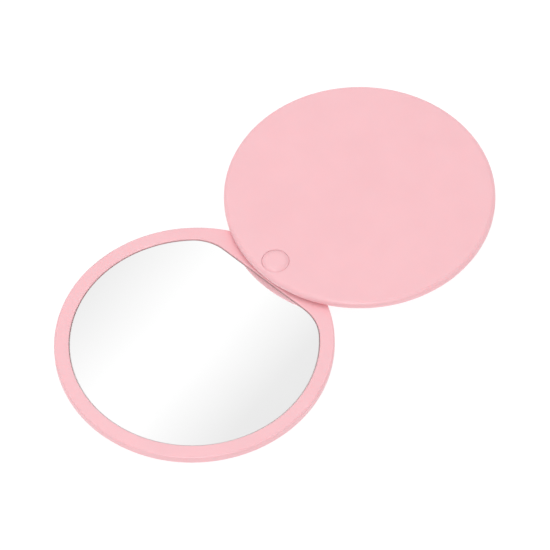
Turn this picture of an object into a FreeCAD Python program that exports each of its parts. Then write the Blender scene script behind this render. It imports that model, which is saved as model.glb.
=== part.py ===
"""Swivel-cover pocket mirror: a round tray with a glass mirror, under a round cover on one pivot near the edge.

Frame: millimetres, +Z up. The origin is the centre of the tray's flat underside. The pivot is on +X.
The cover stands open, turned open_angle about the pivot from where it lies over the mirror.
"""

import FreeCAD
import Part
import math
import os

V = FreeCAD.Vector
UP = V(0, 0, 1)
OUT = "parts"

# ---- driving dimensions ----

# Round plates
tray_diameter = 72.0
cover_inset = 0.5            # how far the cover's edge stands inside the tray's edge when it is shut
plate_gap = 0.3              # between the tray's top and the cover's underside
open_angle = 177.15          # degrees from shut

# Tray: floor, tape, glass and setback add up to its height
tray_floor = 1.05
rim_width = 3.8
mirror_setback = 0.4         # glass below the rim's face
tray_top_round = 0.5
tray_bottom_round = 1.0
opening_corner = 12.0        # corner between the opening's arc and its flat
opening_edge_break = 0.25

# Mirror and its tape
glass_thickness = 1.1
glass_clearance = 0.1        # to the wall of the opening, all round
glass_arris = 0.2
tape_thickness = 0.25
tape_width = 11.0
tape_pitch = 17.5
tape_strips = 3
tape_margin = 3.0            # tape kept back from the glass edge
tape_corner = 9.0

# Cover: skin and pocket add up to its height
cover_skin = 1.3
cover_pocket_depth = 1.5
cover_rim_width = 3.3
cover_top_round = 1.0
cover_bottom_round = 1.3
cover_pocket_edge_break = 0.3

# Pivot place: walls left beside the widest of its seats
pivot_edge_wall = 0.85        # to the cover's edge
pivot_flat_wall = 0.6       # to the flat side of the opening

# Pivot pin: crowned button on a collar, keyed neck in the cover, spigot in the socket
button_diameter = 6.5
button_flat = 4.6            # across the flat middle of the button's top
button_proud = 0.3           # above the cover's face
collar_width = 0.26
collar_drop = 0.08            # collar's face below the cover's face
collar_edge_break = 0.1
counterbore_depth = 1.0
head_gap = 0.06              # round the collar, in its counterbore
counterbore_edge_break = 0.15
shank_diameter = 4.0
neck_flat_depth = 0.4        # each of the neck's two flats below the shank's round
neck_clearance = 0.02        # neck in the cover's keyed hole, each side
spigot_diameter = 2.4
spigot_clearance = 0.01
spigot_end_gap = 0.15
spigot_tip_chamfer = 0.25
barb_height = 0.15           # snap ring on the spigot
barb_length = 0.5
barb_from_tip = 0.35

# Pivot socket: flange under the tray, tube through its bore
flange_diameter = 7.0
flange_thickness = 0.7
flange_recess = 0.2          # flange above the tray's underside
flange_gap = 0.35            # round the flange, in its counterbore
flange_edge_break = 0.2
socket_floor = 0.45          # flange left under the spigot's hole
bore_clearance = 0.05        # tube in the tray's bore

# Washers
slip_diameter = 7.0
slip_seat_depth = 0.25
slip_seat_clearance = 0.1
slip_bore_clearance = 0.1
wave_sheet = 0.15
wave_rise = 0.22             # crest to trough of one face
wave_inset = 0.2             # its edge inside the flange's edge
wave_bore_clearance = 0.15
wave_seat_clearance = 0.02   # above and below the crests
wave_count = 3

# ---- sizes that follow ----

tray_radius = tray_diameter / 2
cover_radius = tray_radius - cover_inset
tray_height = tray_floor + tape_thickness + glass_thickness + mirror_setback
cover_height = cover_skin + cover_pocket_depth
cover_base = tray_height + plate_gap
cover_top = cover_base + cover_height

button_radius = button_diameter / 2
collar_radius = button_radius + collar_width
counterbore_radius = collar_radius + head_gap
ledge_radius = flange_diameter / 2 + flange_gap
slip_radius = slip_diameter / 2
slip_seat_radius = slip_radius + slip_seat_clearance
widest_seat = max(counterbore_radius, ledge_radius, slip_seat_radius)

pivot_offset = cover_radius - pivot_edge_wall - widest_seat
pivot_to_flat = widest_seat + pivot_flat_wall
opening_radius = tray_radius - rim_width
opening_flat = pivot_offset - pivot_to_flat

head_seat = cover_top - counterbore_depth
collar_top = cover_top - collar_drop
button_top = cover_top + button_proud

shank_radius = shank_diameter / 2
bore_radius = shank_radius + bore_clearance
flange_top = flange_recess + flange_thickness
wave_height = wave_sheet + wave_rise + 2 * wave_seat_clearance
ledge_height = flange_top + wave_height

spigot_radius = spigot_diameter / 2
spigot_hole_floor = flange_recess + socket_floor
spigot_tip = spigot_hole_floor + spigot_end_gap

slip_seat = tray_height - slip_seat_depth

JOIN = 0.5                   # how far cutting tools run past a face


# ---- shapes that several pieces use ----

def cylinder(radius, bottom, top, x=0.0):
    """A cylinder about an upright axis at (x, 0)."""
    return Part.makeCylinder(radius, top - bottom, V(x, 0, bottom), UP)


def turned(points, x=0.0):
    """A solid turned about the upright axis at (x, 0) from its half outline.

    Each point is (radius, height), or (radius, height, middle) where an arc ends that passes through middle.
    """
    edges = []
    start = points[-1]
    for point in points:
        a = V(start[0], 0, start[1])
        b = V(point[0], 0, point[1])
        if len(point) == 3:
            middle = V(point[2][0], 0, point[2][1])
            edges.append(Part.Arc(a, middle, b).toShape())
        elif a.distanceToPoint(b) > 1e-7:
            edges.append(Part.makeLine(a, b))
        start = point
    face = Part.Face(Part.Wire(edges))
    solid = face.revolve(V(0, 0, 0), UP, 360)
    solid.translate(V(x, 0, 0))
    return solid


def on_arc(centre_r, centre_z, radius, degrees):
    """A point of a profile's corner round, as (radius, height)."""
    a = math.radians(degrees)
    return (centre_r + radius * math.cos(a), centre_z + radius * math.sin(a))


def round_plate(radius, bottom, top, bottom_round, top_round):
    """A disc with both edges rounded."""
    low = (radius - bottom_round, bottom + bottom_round)
    high = (radius - top_round, top - top_round)
    return turned([
        (0, bottom),
        (low[0], bottom),
        (radius, low[1], on_arc(*low, bottom_round, -45)),
        (radius, high[1]),
        (high[0], top, on_arc(*high, top_round, 45)),
        (0, top),
    ])


def flat_sided_disc(radius, flat, corner, bottom, top):
    """A disc cut off by a flat at x = flat, the two corners rounded, as an upright solid."""
    corner_x = flat - corner
    corner_y = math.sqrt((radius - corner) ** 2 - corner_x ** 2)
    reach = radius / (radius - corner)
    away = math.atan2(corner_y, corner_x) / 2

    def point(x, y):
        return V(x, y, bottom)

    def corner_middle(sign):
        return point(corner_x + corner * math.cos(away), sign * (corner_y + corner * math.sin(away)))

    ends = {sign: point(corner_x * reach, sign * corner_y * reach) for sign in (1, -1)}
    flats = {sign: point(flat, sign * corner_y) for sign in (1, -1)}
    edges = [
        Part.Arc(ends[1], point(-radius, 0), ends[-1]).toShape(),
        Part.Arc(ends[-1], corner_middle(-1), flats[-1]).toShape(),
        Part.makeLine(flats[-1], flats[1]),
        Part.Arc(flats[1], corner_middle(1), ends[1]).toShape(),
    ]
    return Part.Face(Part.Wire(edges)).extrude(V(0, 0, top - bottom))


def level_edges(shape, height, wanted):
    """The edges that lie flat at a height and whose middle point passes the test wanted(x, y)."""
    found = []
    for edge in shape.Edges:
        box = edge.BoundBox
        if abs(box.ZMin - height) > 1e-4 or abs(box.ZMax - height) > 1e-4:
            continue
        middle = edge.valueAt((edge.FirstParameter + edge.LastParameter) / 2)
        if wanted(middle.x, middle.y):
            found.append(edge)
    return found


def from_pivot(x, y):
    """Distance of a point from the pivot axis."""
    return math.hypot(x - pivot_offset, y)


def near_pivot(radius):
    """A test that picks the points at one radius round the pivot."""
    return lambda x, y: abs(from_pivot(x, y) - radius) < 1e-3


def in_opening(radius, flat):
    """A test that picks the outline of an opening and leaves the plate's own edge and the pivot's holes."""
    def wanted(x, y):
        inside = math.hypot(x, y) < radius + 1e-3 and x < flat + 1e-3
        return inside and from_pivot(x, y) > pivot_to_flat - 1e-3
    return wanted


# ---- tray side ----

def base_tray():
    """Lower plate: pocket for the glass, boss with the pivot bore, seats for both washers."""
    tray = round_plate(tray_radius, 0, tray_height, tray_bottom_round, tray_top_round)
    tray = tray.cut(flat_sided_disc(opening_radius, opening_flat, opening_corner, tray_floor, tray_height + JOIN))
    tray = tray.cut(cylinder(bore_radius, -JOIN, tray_height + JOIN, pivot_offset))
    tray = tray.cut(cylinder(slip_seat_radius, slip_seat, tray_height + JOIN, pivot_offset))
    tray = tray.cut(cylinder(ledge_radius, -JOIN, ledge_height, pivot_offset))
    opening = level_edges(tray, tray_height, in_opening(opening_radius, opening_flat))
    tray = tray.makeFillet(opening_edge_break, opening)
    return tray.makeChamfer(flange_edge_break, level_edges(tray, 0, near_pivot(ledge_radius)))


def inside_opening(inset, corner, bottom, top):
    """An upright solid of the opening's outline, taken in by inset."""
    return flat_sided_disc(opening_radius - inset, opening_flat - inset, corner, bottom, top)


def mirror_glass():
    """Back-silvered glass with a ground arris round both faces."""
    bottom = tray_floor + tape_thickness
    corner = opening_corner - glass_clearance
    glass = inside_opening(glass_clearance, corner, bottom, bottom + glass_thickness)
    arrises = [e for z in (bottom, bottom + glass_thickness) for e in level_edges(glass, z, lambda x, y: True)]
    return glass.makeChamfer(glass_arris, arrises)


def mirror_tape():
    """Strips of double-sided tape between the tray's floor and the glass."""
    inset = glass_clearance + tape_margin
    area = inside_opening(inset, tape_corner, tray_floor, tray_floor + tape_thickness)
    strips = []
    for i in range(tape_strips):
        middle = (i - (tape_strips - 1) / 2) * tape_pitch
        strip = Part.makeBox(tray_diameter, tape_width, tray_height, V(-tray_radius, middle - tape_width / 2, 0))
        strips.append(strip.common(area).Solids[0])
    return Part.makeCompound(strips)


def slip_washer():
    """Plain washer that carries the cover and keeps the two plates apart."""
    ring = cylinder(slip_radius, slip_seat, cover_base, pivot_offset)
    return ring.cut(cylinder(shank_radius + slip_bore_clearance, slip_seat - JOIN, cover_base + JOIN, pivot_offset))


def wave_edge(radius, height):
    """A closed wavy edge round the pivot, at a mean height."""
    turns = 2 * math.pi
    steps = 8 * wave_count
    points = []
    for i in range(steps):
        a = turns * i / steps
        rise = wave_rise / 2 * math.cos(wave_count * a)
        points.append(V(pivot_offset + radius * math.cos(a), radius * math.sin(a), height + rise))
    curve = Part.BSplineCurve()
    curve.interpolate(Points=points, PeriodicFlag=True)
    return curve.toShape()


def wave_washer():
    """Sprung washer between the socket's flange and the tray: its push gives the pivot its drag."""
    middle = flange_top + wave_height / 2
    inner = shank_radius + wave_bore_clearance
    outer = flange_diameter / 2 - wave_inset
    rings = {
        (r, side): wave_edge(r, middle + side * wave_sheet / 2)
        for r in (inner, outer) for side in (1, -1)
    }
    walls = [
        Part.makeRuledSurface(rings[inner, 1], rings[outer, 1]),
        Part.makeRuledSurface(rings[outer, 1], rings[outer, -1]),
        Part.makeRuledSurface(rings[outer, -1], rings[inner, -1]),
        Part.makeRuledSurface(rings[inner, -1], rings[inner, 1]),
    ]
    shell = Part.makeShell(walls)
    shell.sewShape()
    solid = Part.Solid(Part.Shell(shell.Faces))
    if solid.Volume < 0:
        solid.reverse()
    return solid


# ---- cover side, drawn shut over the tray ----

def neck_outline(clearance, bottom, top):
    """The keyed neck: a cylinder with two flats, grown by clearance."""
    across = shank_diameter - 2 * neck_flat_depth + 2 * clearance
    size = 2 * shank_diameter
    slab = Part.makeBox(size, across, top - bottom, V(pivot_offset - size / 2, -across / 2, bottom))
    return cylinder(shank_radius + clearance, bottom, top, pivot_offset).common(slab)


def cover_plate():
    """Upper plate: a thin skin with a rim, solid round the pivot, the pin's head let into its face."""
    pocket_radius = cover_radius - cover_rim_width
    cover = round_plate(cover_radius, cover_base, cover_top, cover_bottom_round, cover_top_round)
    pocket_top = cover_base + cover_pocket_depth
    pocket = flat_sided_disc(pocket_radius, opening_flat, opening_corner, cover_base - JOIN, pocket_top)
    cover = cover.cut(pocket)
    cover = cover.cut(neck_outline(neck_clearance, cover_base - JOIN, head_seat + JOIN))
    cover = cover.cut(cylinder(counterbore_radius, head_seat, cover_top + JOIN, pivot_offset))
    cover = cover.makeFillet(
        cover_pocket_edge_break, level_edges(cover, cover_base, in_opening(pocket_radius, opening_flat)))
    return cover.makeFillet(
        counterbore_edge_break, level_edges(cover, cover_top, near_pivot(counterbore_radius)))


def pin_head():
    """A collar that fills the counterbore, and the button whose crown falls from its flat middle to the collar."""
    flat_radius = button_flat / 2
    run = button_radius - flat_radius
    fall = button_top - collar_top
    crown = (run ** 2 + fall ** 2) / (2 * fall)
    steepest = math.degrees(math.asin(run / crown))
    return turned([
        (0, head_seat),
        (collar_radius, head_seat),
        (collar_radius, collar_top - collar_edge_break),
        (collar_radius - collar_edge_break, collar_top),
        (button_radius, collar_top),
        (flat_radius, button_top, on_arc(flat_radius, button_top - crown, crown, 90 - steepest / 2)),
        (0, button_top),
    ], pivot_offset)


def pivot_pin():
    """Button-headed pin: its neck is keyed to the cover and its spigot snaps into the socket."""
    barb_radius = spigot_radius + barb_height
    barb_low = spigot_tip + barb_from_tip
    barb_high = barb_low + barb_length
    spigot = turned([
        (0, spigot_tip),
        (spigot_radius - spigot_tip_chamfer, spigot_tip),
        (spigot_radius, spigot_tip + spigot_tip_chamfer),
        (spigot_radius, barb_low),
        (barb_radius, barb_high),
        (spigot_radius, barb_high),
        (spigot_radius, cover_base),
        (0, cover_base),
    ], pivot_offset)
    return pin_head().fuse(neck_outline(0, cover_base, head_seat)).fuse(spigot).removeSplitter()


def pivot_socket():
    """Flanged tube that turns in the tray's bore and holds the pin."""
    hole = spigot_radius + spigot_clearance
    groove = hole + barb_height
    groove_low = spigot_tip + barb_from_tip - spigot_clearance
    groove_high = spigot_tip + barb_from_tip + barb_length + spigot_clearance
    return turned([
        (0, flange_recess),
        (flange_diameter / 2 - flange_edge_break, flange_recess),
        (flange_diameter / 2, flange_recess + flange_edge_break),
        (flange_diameter / 2, flange_top),
        (shank_radius, flange_top),
        (shank_radius, cover_base),
        (hole, cover_base),
        (hole, groove_high),
        (groove, groove_high),
        (hole, groove_low),
        (hole, spigot_hole_floor),
        (0, spigot_hole_floor),
    ], pivot_offset)


def opened(shape):
    """The shape turned about the pivot from shut to its stored angle."""
    shape.rotate(V(pivot_offset, 0, 0), UP, open_angle)
    return shape


# ---- the whole object ----

def build():
    os.makedirs(OUT, exist_ok=True)
    pieces = {
        "base_tray": base_tray(),
        "mirror_glass": mirror_glass(),
        "mirror_tape": mirror_tape(),
        "slip_washer": slip_washer(),
        "wave_washer": wave_washer(),
        "cover_plate": opened(cover_plate()),
        "pivot_pin": opened(pivot_pin()),
        "pivot_socket": opened(pivot_socket()),
    }
    for name, shape in pieces.items():
        box = shape.BoundBox
        print(f"{name}: {shape.Volume:.1f} mm3, {len(shape.Solids)} solid(s), valid {shape.isValid()}, "
              f"z {box.ZMin:.2f} to {box.ZMax:.2f}")
        shape.exportStep(os.path.join(OUT, name + ".step"))


build()
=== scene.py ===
import math

import bpy
from mathutils import Matrix, Quaternion, Vector


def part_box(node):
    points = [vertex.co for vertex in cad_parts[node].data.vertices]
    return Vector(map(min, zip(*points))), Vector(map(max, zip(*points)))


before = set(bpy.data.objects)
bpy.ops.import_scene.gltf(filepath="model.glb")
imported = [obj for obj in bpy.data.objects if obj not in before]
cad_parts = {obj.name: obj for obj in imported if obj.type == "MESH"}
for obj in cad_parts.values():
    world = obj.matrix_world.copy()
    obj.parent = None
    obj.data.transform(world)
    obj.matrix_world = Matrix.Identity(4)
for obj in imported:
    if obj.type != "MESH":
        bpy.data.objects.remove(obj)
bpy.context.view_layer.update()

MM = 0.001


def direction_of(azimuth, elevation):
    """A unit vector from the object towards that side and height, in degrees."""
    turn, rise = math.radians(azimuth), math.radians(elevation)
    return Vector((math.sin(turn) * math.cos(rise), -math.cos(turn) * math.cos(rise), math.sin(rise)))


# ---- camera ----

def make_camera():
    """A long lens, looking down at the open mirror from the tray's side of the swivel."""
    roll = math.radians(-1.45)
    distance = 1.1866
    aim = Vector((30.43, -0.05, 0.0)) * MM
    back = direction_of(azimuth=-46.19, elevation=54.53)
    data = bpy.data.cameras.new("camera")
    data.lens = 299.28
    data.sensor_width = 36.0
    data.clip_start = 0.05
    data.clip_end = 20.0
    camera = bpy.data.objects.new("camera", data)
    bpy.context.collection.objects.link(camera)
    camera.rotation_mode = "QUATERNION"
    camera.rotation_quaternion = (-back).to_track_quat("-Z", "Y") @ Quaternion((0, 0, 1), roll)
    camera.location = aim + back * distance
    bpy.context.scene.camera = camera
    return camera


# ---- material helpers ----

def new_material(name):
    """An empty node material with its shader and output; returns material, nodes, links, shader."""
    material = bpy.data.materials.new(name)
    material.use_nodes = True
    nodes, links = material.node_tree.nodes, material.node_tree.links
    nodes.clear()
    output = nodes.new("ShaderNodeOutputMaterial")
    shader = nodes.new("ShaderNodeBsdfPrincipled")
    links.new(shader.outputs["BSDF"], output.inputs["Surface"])
    return material, nodes, links, shader


def srgb(red, green, blue):
    """A colour given as 0 to 255, as the linear values that a shader takes."""
    def linear(value):
        value /= 255
        return value / 12.92 if value <= 0.04045 else ((value + 0.055) / 1.055) ** 2.4
    return (linear(red), linear(green), linear(blue), 1.0)


def noise(nodes, links, size_mm, detail=2.0, roughness=0.5):
    """Noise on Object coordinates whose blobs are about size_mm across."""
    place = nodes.new("ShaderNodeTexCoord")
    texture = nodes.new("ShaderNodeTexNoise")
    texture.inputs["Scale"].default_value = 1.0 / (size_mm * MM)
    texture.inputs["Detail"].default_value = detail
    texture.inputs["Roughness"].default_value = roughness
    links.new(place.outputs["Object"], texture.inputs["Vector"])
    return texture.outputs["Fac"]


def spread(nodes, links, value, low, high):
    """The value's middle half, stretched to run from low to high."""
    ramp = nodes.new("ShaderNodeMapRange")
    ramp.inputs["From Min"].default_value = 0.25
    ramp.inputs["From Max"].default_value = 0.75
    ramp.inputs["To Min"].default_value = low
    ramp.inputs["To Max"].default_value = high
    links.new(value, ramp.inputs["Value"])
    return ramp.outputs["Result"]


def mix_colours(nodes, links, factor, first, second):
    """first where the factor is 0 and second where it is 1."""
    mix = nodes.new("ShaderNodeMix")
    mix.data_type = "RGBA"
    links.new(factor, mix.inputs["Factor"])
    for socket, colour in ((mix.inputs[6], first), (mix.inputs[7], second)):
        if isinstance(colour, tuple):
            socket.default_value = colour
        else:
            links.new(colour, socket)
    return mix.outputs[2]


def bump(nodes, links, shader, height, depth_mm, under=None):
    """Adds a bump of that depth; returns it so that another can lie on it."""
    node = nodes.new("ShaderNodeBump")
    node.inputs["Strength"].default_value = 1.0
    node.inputs["Distance"].default_value = depth_mm * MM
    links.new(height, node.inputs["Height"])
    if under is not None:
        links.new(under, node.inputs["Normal"])
    links.new(node.outputs["Normal"], shader.inputs["Normal"])
    return node.outputs["Normal"]


# ---- materials ----

EJECTOR_MARK_RADIUS = 1.6 * MM
EJECTOR_MARK_DEPTH_MM = 0.06
GATE_MARK_RADIUS = 0.7 * MM
GATE_MARK_HEIGHT_MM = 0.08
MARK_EDGE = 0.06 * MM
INNER_PIN_RING = 9 * MM
COVER_PIN_RING = 24 * MM
TRAY_PIN_RING = 26 * MM


def split_axes(nodes, links, vector):
    """The vector's x, y and z."""
    split = nodes.new("ShaderNodeSeparateXYZ")
    links.new(vector, split.inputs["Vector"])
    return split.outputs["X"], split.outputs["Y"], split.outputs["Z"]


def maths(nodes, links, operation, first, second):
    """One sum on two values, each a socket or a number."""
    node = nodes.new("ShaderNodeMath")
    node.operation = operation
    for socket, value in zip(node.inputs, (first, second)):
        if isinstance(value, (int, float)):
            socket.default_value = value
        else:
            links.new(value, socket)
    return node.outputs["Value"]


def round_marks(nodes, links, places, radius):
    """1 inside any of the round marks and 0 outside, on faces that look down."""
    place = nodes.new("ShaderNodeTexCoord")
    level = nodes.new("ShaderNodeVectorMath")
    level.operation = "MULTIPLY"
    level.inputs[1].default_value = (1, 1, 0)
    links.new(place.outputs["Object"], level.inputs[0])
    nearest = 1.0
    for x, y in places:
        reach = nodes.new("ShaderNodeVectorMath")
        reach.operation = "DISTANCE"
        reach.inputs[1].default_value = (x, y, 0)
        links.new(level.outputs["Vector"], reach.inputs[0])
        nearest = maths(nodes, links, "MINIMUM", nearest, reach.outputs["Value"])
    edge = nodes.new("ShaderNodeMapRange")
    edge.inputs["From Min"].default_value = radius - MARK_EDGE
    edge.inputs["From Max"].default_value = radius + MARK_EDGE
    edge.inputs["To Min"].default_value = 1.0
    edge.inputs["To Max"].default_value = 0.0
    links.new(nearest, edge.inputs["Value"])
    facing = split_axes(nodes, links, place.outputs["Normal"])[2]
    down = maths(nodes, links, "LESS_THAN", facing, -0.5)
    return maths(nodes, links, "MULTIPLY", edge.outputs["Result"], down)


def moulded_pink(name, pin_places=(), gate_place=None):
    """Soft pink satin ABS: faintly cloudy, with fine spark grain and uneven gloss, and underneath the marks
    that the mould's ejector pins and its gate leave: bumps in relief, with their colour darkened as painted
    shade."""
    material, nodes, links, shader = new_material(name)
    cloud = spread(nodes, links, noise(nodes, links, 9.0), 0.0, 1.0)
    colour = mix_colours(nodes, links, cloud, srgb(242, 188, 194), srgb(245, 191, 197))
    gloss = spread(nodes, links, noise(nodes, links, 1.6, detail=4.0), 0.33, 0.41)
    grain = noise(nodes, links, 0.09, detail=3.0, roughness=0.6)
    ripple = noise(nodes, links, 6.0, detail=1.0)
    surface = bump(nodes, links, shader, ripple, 0.01)
    if pin_places:
        pins = round_marks(nodes, links, pin_places, EJECTOR_MARK_RADIUS)
        surface = bump(nodes, links, shader, pins, -EJECTOR_MARK_DEPTH_MM, under=surface)
        gloss = maths(nodes, links, "SUBTRACT", gloss, maths(nodes, links, "MULTIPLY", pins, 0.08))
        # painted shade: the pin marks' colour is darkened to stand in for the shading of their shallow hollows
        pin_marks_painted_shade = maths(nodes, links, "MULTIPLY", pins, 0.45)
        colour = mix_colours(nodes, links, pin_marks_painted_shade, colour, srgb(234, 176, 184))
    if gate_place:
        gate = round_marks(nodes, links, [gate_place], GATE_MARK_RADIUS)
        surface = bump(nodes, links, shader, gate, GATE_MARK_HEIGHT_MM, under=surface)
        # painted shade: the gate mark's colour is darkened to stand in for the shading of its small raised nub
        colour = mix_colours(nodes, links, gate, colour, srgb(236, 178, 186))
    bump(nodes, links, shader, grain, 0.0025, under=surface)
    links.new(colour, shader.inputs["Base Color"])
    links.new(gloss, shader.inputs["Roughness"])
    shader.inputs["Specular IOR Level"].default_value = 0.5
    shader.inputs["IOR"].default_value = 1.5
    shader.inputs["Subsurface Weight"].default_value = 0.12
    shader.inputs["Subsurface Radius"].default_value = (1.0, 0.3, 0.3)
    shader.inputs["Subsurface Scale"].default_value = 1.2 * MM
    return material


def silvered_glass():
    """Polished mirror: bright face, dull ground arrises and edge, and grey paint on its back."""
    material, nodes, links, shader = new_material("silvered_glass")
    place = nodes.new("ShaderNodeTexCoord")
    facing = split_axes(nodes, links, place.outputs["Normal"])[2]
    face = maths(nodes, links, "GREATER_THAN", facing, 0.9)
    back = maths(nodes, links, "LESS_THAN", facing, -0.9)
    tint = spread(nodes, links, noise(nodes, links, 30.0, detail=1.0), 0.0, 1.0)
    silver = mix_colours(nodes, links, tint, srgb(248, 248, 248), srgb(250, 250, 250))
    scratch = spread(nodes, links, noise(nodes, links, 0.15, detail=4.0), 0.0, 1.0)
    ground = mix_colours(nodes, links, scratch, srgb(200, 206, 203), srgb(224, 228, 225))
    brushed = spread(nodes, links, noise(nodes, links, 2.5, detail=5.0), 0.0, 1.0)
    paint = mix_colours(nodes, links, brushed, srgb(112, 116, 120), srgb(126, 130, 133))
    rim = mix_colours(nodes, links, face, ground, silver)
    colour = mix_colours(nodes, links, back, rim, paint)
    links.new(colour, shader.inputs["Base Color"])
    haze = spread(nodes, links, noise(nodes, links, 14.0, detail=3.0), 0.012, 0.022)
    dull = spread(nodes, links, scratch, 0.45, 0.6)
    sharp = maths(nodes, links, "MULTIPLY", face, haze)
    blunt = maths(nodes, links, "MULTIPLY", maths(nodes, links, "SUBTRACT", 1.0, face), dull)
    links.new(maths(nodes, links, "ADD", sharp, blunt), shader.inputs["Roughness"])
    links.new(face, shader.inputs["Metallic"])
    return material


def foam_tape():
    """Off-white foam tape with open pores."""
    material, nodes, links, shader = new_material("foam_tape")
    pores = noise(nodes, links, 0.25, detail=4.0, roughness=0.7)
    tone = spread(nodes, links, pores, 0.0, 1.0)
    colour = mix_colours(nodes, links, tone, srgb(214, 210, 198), srgb(238, 235, 226))
    links.new(colour, shader.inputs["Base Color"])
    gloss = spread(nodes, links, pores, 0.9, 0.75)
    links.new(gloss, shader.inputs["Roughness"])
    bump(nodes, links, shader, pores, 0.05)
    shader.inputs["Specular IOR Level"].default_value = 0.3
    return material


def natural_nylon():
    """Milky nylon with faint cloudiness and a fine blanked surface."""
    material, nodes, links, shader = new_material("natural_nylon")
    cloud = spread(nodes, links, noise(nodes, links, 1.2, detail=2.0), 0.0, 1.0)
    colour = mix_colours(nodes, links, cloud, srgb(226, 223, 210), srgb(238, 236, 227))
    links.new(colour, shader.inputs["Base Color"])
    gloss = spread(nodes, links, noise(nodes, links, 0.4, detail=3.0), 0.3, 0.42)
    links.new(gloss, shader.inputs["Roughness"])
    bump(nodes, links, shader, noise(nodes, links, 0.12, detail=3.0), 0.004)
    shader.inputs["Specular IOR Level"].default_value = 0.5
    return material


def rolled_spring_steel():
    """Bright spring strip: fine lines along its rolling direction and a faint straw tint."""
    material, nodes, links, shader = new_material("rolled_spring_steel")
    place = nodes.new("ShaderNodeTexCoord")
    along = nodes.new("ShaderNodeMapping")
    along.inputs["Scale"].default_value = (1.0, 18.0, 1.0)
    lines = nodes.new("ShaderNodeTexNoise")
    lines.inputs["Scale"].default_value = 700.0
    lines.inputs["Detail"].default_value = 4.0
    links.new(place.outputs["Object"], along.inputs["Vector"])
    links.new(along.outputs["Vector"], lines.inputs["Vector"])
    tint = spread(nodes, links, noise(nodes, links, 1.5), 0.0, 1.0)
    colour = mix_colours(nodes, links, tint, srgb(186, 187, 190), srgb(198, 194, 184))
    links.new(colour, shader.inputs["Base Color"])
    gloss = spread(nodes, links, lines.outputs["Fac"], 0.24, 0.38)
    links.new(gloss, shader.inputs["Roughness"])
    bump(nodes, links, shader, lines.outputs["Fac"], 0.003)
    shader.inputs["Metallic"].default_value = 1.0
    return material


def paint_node(name, material):
    """Gives a CAD node's object one material."""
    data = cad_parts[name].data
    data.materials.clear()
    data.materials.append(material)


def ring_of_places(node, radius, count, start):
    """Places evenly spaced on a circle round the middle of a node's box."""
    low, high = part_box(node)
    middle = (low + high) / 2
    turns = (math.radians(start + 360 * step / count) for step in range(count))
    return [(middle.x + radius * math.cos(turn), middle.y + radius * math.sin(turn)) for turn in turns]


# ---- light and floor ----

def make_world():
    """An even pale studio, a little darker towards the horizon."""
    world = bpy.data.worlds.new("studio")
    bpy.context.scene.world = world
    world.use_nodes = True
    nodes, links = world.node_tree.nodes, world.node_tree.links
    nodes.clear()
    output = nodes.new("ShaderNodeOutputWorld")
    background = nodes.new("ShaderNodeBackground")
    place = nodes.new("ShaderNodeTexCoord")
    split = nodes.new("ShaderNodeSeparateXYZ")
    ramp = nodes.new("ShaderNodeValToRGB")
    links.new(place.outputs["Generated"], split.inputs["Vector"])
    links.new(split.outputs["Z"], ramp.inputs["Fac"])
    ramp.color_ramp.elements[0].position = 0.0
    ramp.color_ramp.elements[0].color = (0.82, 0.82, 0.82, 1)
    ramp.color_ramp.elements[1].position = 1.0
    ramp.color_ramp.elements[1].color = (1.0, 1.0, 1.0, 1)
    links.new(ramp.outputs["Color"], background.inputs["Color"])
    background.inputs["Strength"].default_value = 0.80
    links.new(background.outputs["Background"], output.inputs["Surface"])


def add_soft_box(name, azimuth, elevation, distance, size, energy, sheen_only=False):
    """A round soft box that faces the object from that side and height; sheen_only leaves it to the gloss."""
    data = bpy.data.lights.new(name, "AREA")
    data.shape = "DISK"
    data.size = size
    data.energy = energy
    light = bpy.data.objects.new(name, data)
    bpy.context.collection.objects.link(light)
    back = direction_of(azimuth, elevation)
    light.location = back * distance
    light.rotation_mode = "QUATERNION"
    light.rotation_quaternion = (-back).to_track_quat("-Z", "Y")
    light.visible_diffuse = not sheen_only


def make_floor():
    """A pale sheet a hair below the tray, seen only from above, whose two halves meet well away from it."""
    bpy.ops.object.select_all(action="DESELECT")
    bpy.ops.mesh.primitive_plane_add(size=16.0, location=(3.0, -2.0, -0.3 * MM))
    floor = bpy.context.object
    floor.name = "floor"
    material, nodes, links, shader = new_material("pale_floor")
    shader.inputs["Base Color"].default_value = (0.2, 0.2, 0.2, 1)
    shader.inputs["Roughness"].default_value = 0.9
    shader.inputs["Specular IOR Level"].default_value = 0.0
    shader.inputs["Emission Color"].default_value = (1, 1, 1, 1)
    shader.inputs["Emission Strength"].default_value = 0.87
    side = nodes.new("ShaderNodeNewGeometry")
    clear = nodes.new("ShaderNodeBsdfTransparent")
    blend = nodes.new("ShaderNodeMixShader")
    output = next(node for node in nodes if node.type == "OUTPUT_MATERIAL")
    links.new(side.outputs["Backfacing"], blend.inputs["Fac"])
    links.new(shader.outputs["BSDF"], blend.inputs[1])
    links.new(clear.outputs["BSDF"], blend.inputs[2])
    links.new(blend.outputs["Shader"], output.inputs["Surface"])
    floor.data.materials.append(material)


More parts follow.
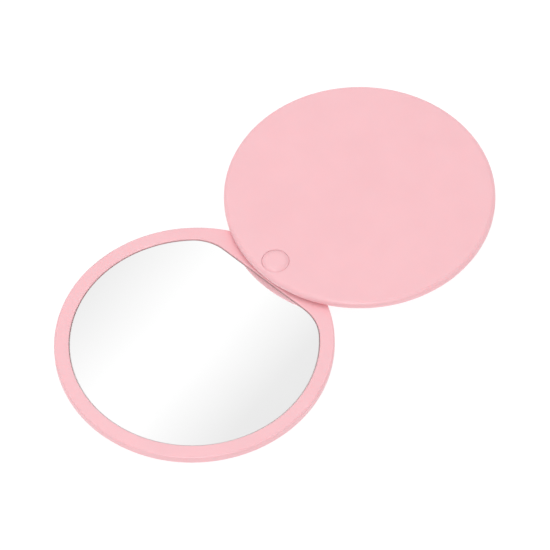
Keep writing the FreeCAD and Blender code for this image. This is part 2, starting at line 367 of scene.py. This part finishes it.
def make_reflector(camera):
    """A soft-edged card seen only in the mirror and the gloss: a bright diagonal band between greyer sides."""
    glass_low, glass_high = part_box("mirror_glass")
    middle = (glass_low + glass_high) / 2
    seen = (middle - camera.location).normalized()
    towards = Vector((seen.x, seen.y, -seen.z))
    right = camera.rotation_quaternion @ Vector((1, 0, 0))
    right = (right - towards * right.dot(towards)).normalized()
    up = towards.cross(right) * -1
    distance, side = 0.42, 0.5
    band_half_width, fade_start = 0.045, 0.10
    bpy.ops.object.select_all(action="DESELECT")
    bpy.ops.mesh.primitive_plane_add(size=side)
    card = bpy.context.object
    card.name = "reflector"
    turn = Matrix((right, up, right.cross(up))).transposed().to_4x4()
    card.matrix_world = Matrix.Translation(middle + towards * distance) @ turn
    material = bpy.data.materials.new("reflector_card")
    material.use_nodes = True
    nodes, links = material.node_tree.nodes, material.node_tree.links
    nodes.clear()
    output = nodes.new("ShaderNodeOutputMaterial")
    glow = nodes.new("ShaderNodeEmission")
    clear = nodes.new("ShaderNodeBsdfTransparent")
    blend = nodes.new("ShaderNodeMixShader")
    place = nodes.new("ShaderNodeTexCoord")
    turned = nodes.new("ShaderNodeMapping")
    turned.inputs["Rotation"].default_value = (0, 0, math.radians(-42))
    split = nodes.new("ShaderNodeSeparateXYZ")
    across = nodes.new("ShaderNodeMapRange")
    across.inputs["From Min"].default_value = -band_half_width
    across.inputs["From Max"].default_value = band_half_width
    ramp = nodes.new("ShaderNodeValToRGB")
    links.new(place.outputs["Object"], turned.inputs["Vector"])
    links.new(turned.outputs["Vector"], split.inputs["Vector"])
    links.new(split.outputs["X"], across.inputs["Value"])
    links.new(across.outputs["Result"], ramp.inputs["Fac"])
    stops = ((0.0, 0.86), (0.38, 1.08), (0.55, 1.08), (0.85, 0.88), (1.0, 0.86))
    band = ramp.color_ramp
    band.elements[0].position, band.elements[0].color = stops[0][0], (stops[0][1],) * 3 + (1,)
    band.elements[1].position, band.elements[1].color = stops[-1][0], (stops[-1][1],) * 3 + (1,)
    for position, value in stops[1:-1]:
        band.elements.new(position).color = (value,) * 3 + (1,)
    links.new(ramp.outputs["Color"], glow.inputs["Color"])
    reach = nodes.new("ShaderNodeVectorMath")
    reach.operation = "LENGTH"
    fade = nodes.new("ShaderNodeMapRange")
    fade.interpolation_type = "SMOOTHSTEP"
    fade.inputs["From Min"].default_value = fade_start
    fade.inputs["From Max"].default_value = side / 2
    links.new(place.outputs["Object"], reach.inputs[0])
    links.new(reach.outputs["Value"], fade.inputs["Value"])
    links.new(fade.outputs["Result"], blend.inputs["Fac"])
    links.new(glow.outputs["Emission"], blend.inputs[1])
    links.new(clear.outputs["BSDF"], blend.inputs[2])
    links.new(blend.outputs["Shader"], output.inputs["Surface"])
    card.data.materials.append(material)
    card.visible_camera = False
    card.visible_diffuse = False
    card.visible_shadow = False
    card.visible_transmission = False


bpy.context.scene.view_settings.view_transform = "Standard"
camera = make_camera()
make_world()
add_soft_box("overhead", azimuth=170, elevation=77, distance=1.1, size=0.6, energy=2.7)
add_soft_box("front", azimuth=-52, elevation=48, distance=1.1, size=0.5, energy=1.5)
add_soft_box("front_sheen", azimuth=-48, elevation=46, distance=1.1, size=0.9, energy=4.5, sheen_only=True)
make_floor()
make_reflector(camera)

cover_pins = (ring_of_places("cover_plate", COVER_PIN_RING, 6, 30)
              + ring_of_places("cover_plate", INNER_PIN_RING, 3, 90))
tray_pins = (ring_of_places("base_tray", TRAY_PIN_RING, 6, 30)
             + ring_of_places("base_tray", INNER_PIN_RING, 3, 90))
cover_gate = ring_of_places("cover_plate", 0, 1, 0)[0]

paint_node("base_tray", moulded_pink("moulded_pink_tray", tray_pins, (0, 0)))
paint_node("cover_plate", moulded_pink("moulded_pink_cover", cover_pins, cover_gate))
pivot_pink = moulded_pink("moulded_pink_pivot")
paint_node("pivot_pin", pivot_pink)
paint_node("pivot_socket", pivot_pink)
paint_node("mirror_glass", silvered_glass())
paint_node("mirror_tape", foam_tape())
paint_node("slip_washer", natural_nylon())
paint_node("wave_washer", rolled_spring_steel())
